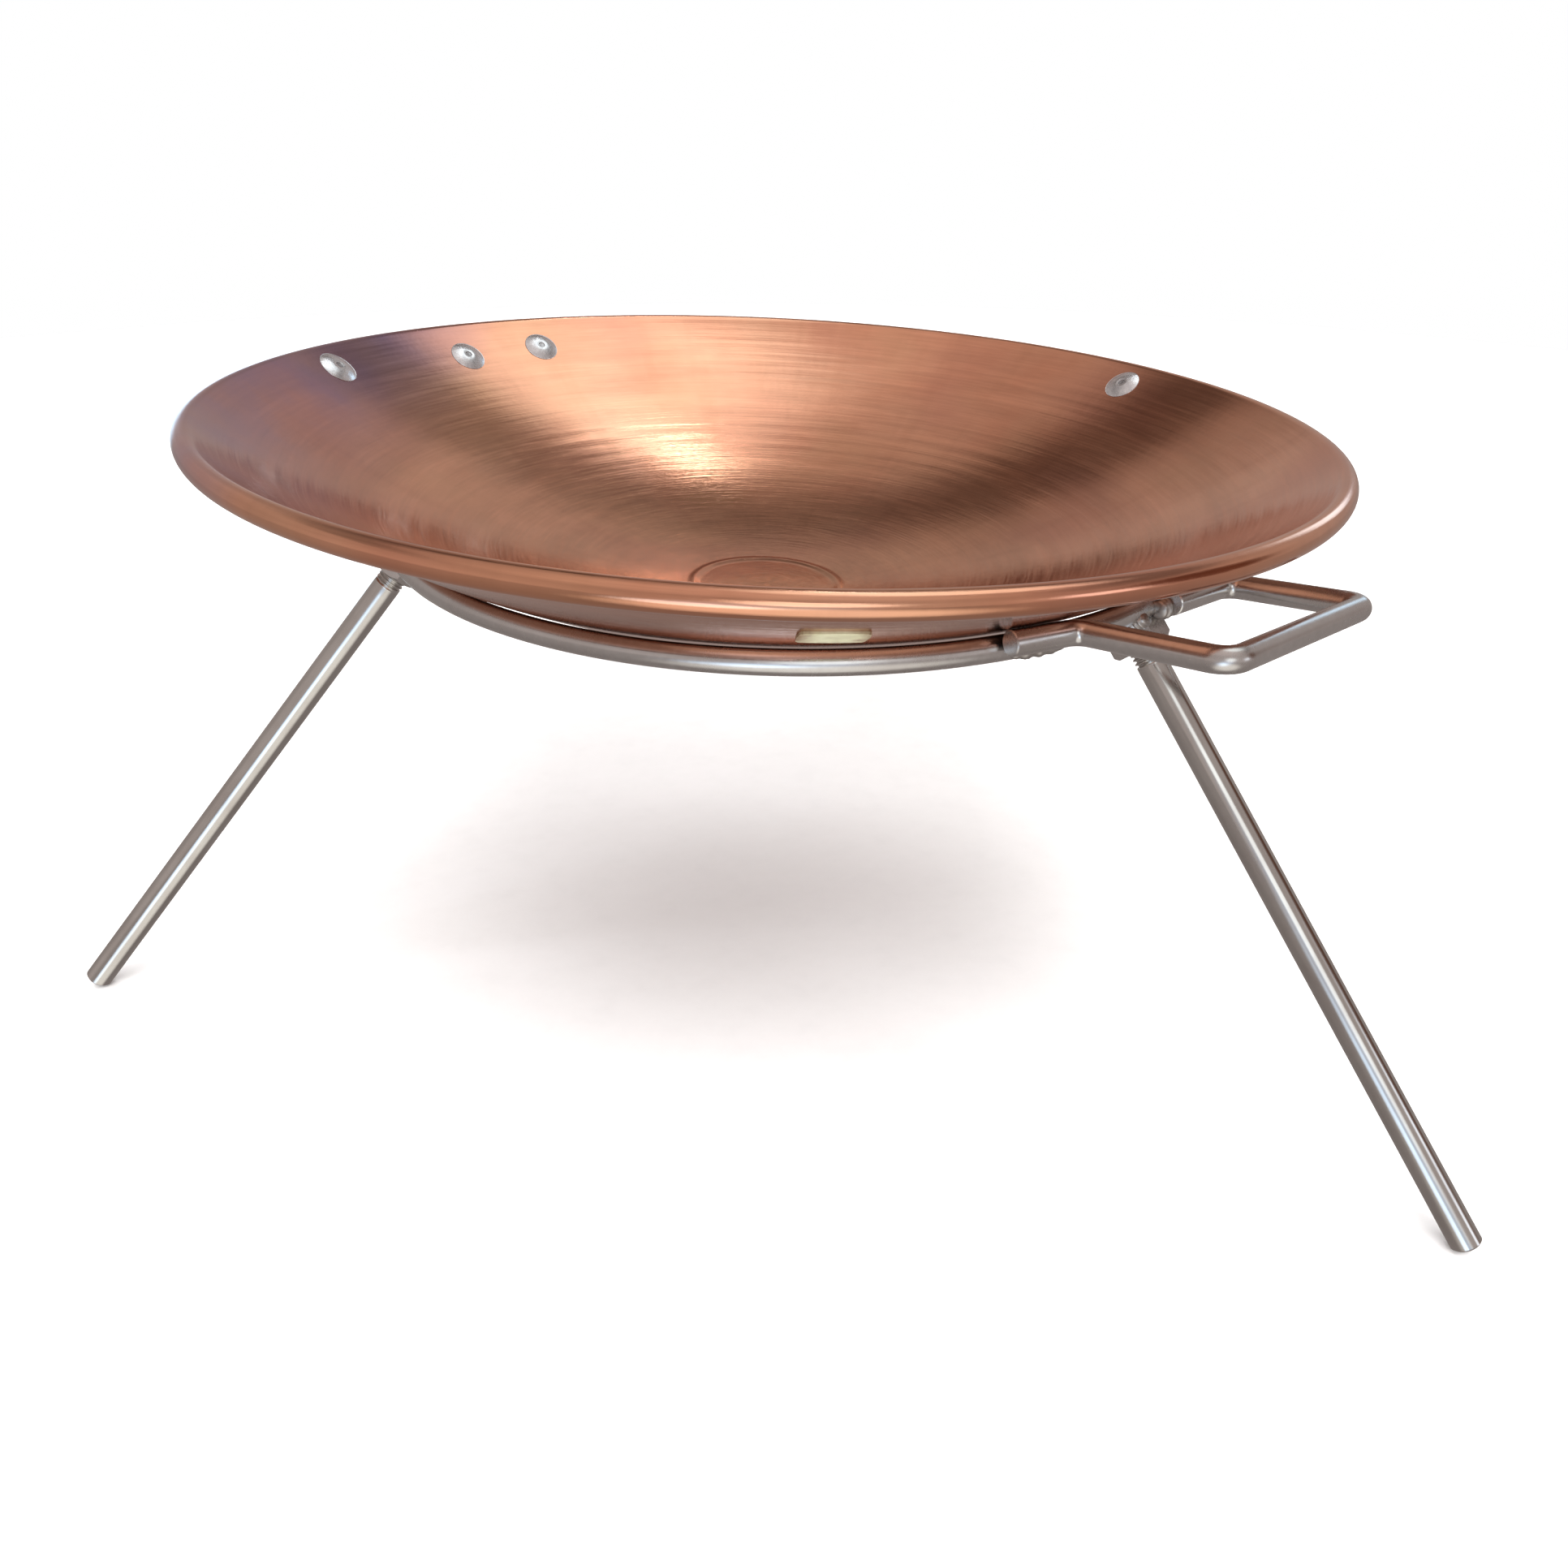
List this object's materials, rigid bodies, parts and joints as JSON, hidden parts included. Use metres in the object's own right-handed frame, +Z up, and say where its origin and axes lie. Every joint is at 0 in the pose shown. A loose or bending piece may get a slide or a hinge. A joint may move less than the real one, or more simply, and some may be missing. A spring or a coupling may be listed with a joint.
{
  "type": "fire pit with grate",
  "caption": "Spun copper fire bowl resting in a round rod ring on screw-in threaded rod legs, with a bent rod handle.",
  "frame": {"origin": "on the floor, at the centre of the part's outline seen from above", "axes": "+Z up, standing on its legs; +X to the right and +Y away, seen from the side the handle is on"},
  "size_m": [0.514, 0.507, 0.2297],
  "materials": {
    "copper": "polished spun copper",
    "ring_steel": "satin polished",
    "leg_steel": "bright polished",
    "weld": "brushed weld bead",
    "rivet": "satin",
    "pin": "plain",
    "plate": "satin with brown heat staining at its edges"
  },
  "bodies": {
    "stand": {"stand_ring": "ring_steel", "handle": "ring_steel", "leg_nuts": "ring_steel", "nut_welds": "weld", "handle_welds": "weld"},
    "bowl": {"fire_bowl": "copper", "rivets": "rivet", "rivet_pins": "pin", "brass_plate": "plate"},
    "leg_right": {"leg_right": "leg_steel"},
    "leg_left": {"leg_left": "leg_steel"},
    "leg_back": {"leg_back": "leg_steel"}
  },
  "joints": [
    {"name": "bowl_lift", "type": "slide", "parent": "stand", "child": "bowl", "axis": [0, 0, 1], "range_m": [0, 0.15]},
    {"name": "leg_right_unscrew", "type": "slide", "parent": "stand", "child": "leg_right", "axis": [0.4797, -0.4552, -0.7501], "range_m": [0, 0.02]},
    {"name": "leg_left_unscrew", "type": "slide", "parent": "stand", "child": "leg_left", "axis": [-0.6341, -0.1878, -0.7501], "range_m": [0, 0.02]},
    {"name": "leg_back_unscrew", "type": "slide", "parent": "stand", "child": "leg_back", "axis": [0.1544, 0.643, -0.7501], "range_m": [0, 0.02]}
  ]
}
